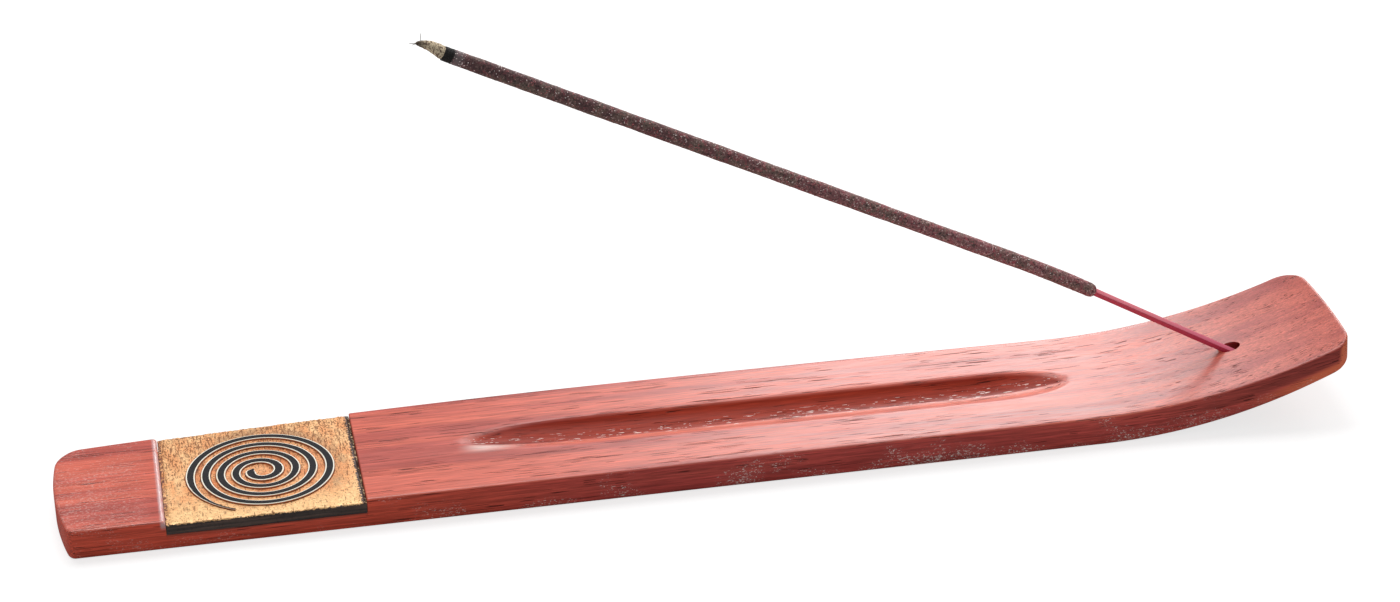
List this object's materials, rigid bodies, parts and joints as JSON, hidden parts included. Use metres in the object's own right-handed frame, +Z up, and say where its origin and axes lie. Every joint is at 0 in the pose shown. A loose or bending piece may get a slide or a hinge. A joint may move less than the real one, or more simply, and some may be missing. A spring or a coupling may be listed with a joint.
{
  "type": "incense burner",
  "caption": "Long wooden ash board with a swept-up nose, an ash groove, an inlaid carved spiral tile and a slanted hole that holds a leaning, partly burnt incense stick.",
  "frame": {"origin": "on the table under the middle of the board, at the centre of the part's box in plan", "axes": "+X along the board towards the swept-up nose, +Y to the back of the pictured view, +Z up"},
  "size_m": [0.254, 0.0336, 0.092],
  "materials": {
    "board_wood": "oiled reddish hardwood with open pores",
    "gilded_tile_wood": "black-stained wood with a gilded ground",
    "cured_glue": "dried wood glue",
    "dyed_bamboo": "pink-dyed bamboo splint",
    "incense_paste": "dry wood-powder paste with fine glitter",
    "charred_paste": "charred",
    "incense_ash": "loose pale ash"
  },
  "bodies": {
    "board": {"base_board": "board_wood", "spiral_tile": "gilded_tile_wood", "tile_glue_bed": "cured_glue"},
    "stick": {"stick_core": "dyed_bamboo", "incense_coat": "incense_paste", "char_band": "charred_paste", "ash_tip": "incense_ash"}
  },
  "joints": [
    {"name": "stick_lift", "type": "slide", "parent": "board", "child": "stick", "axis": [-0.8686, 0, 0.4955], "range_m": [0, 0.03]}
  ]
}
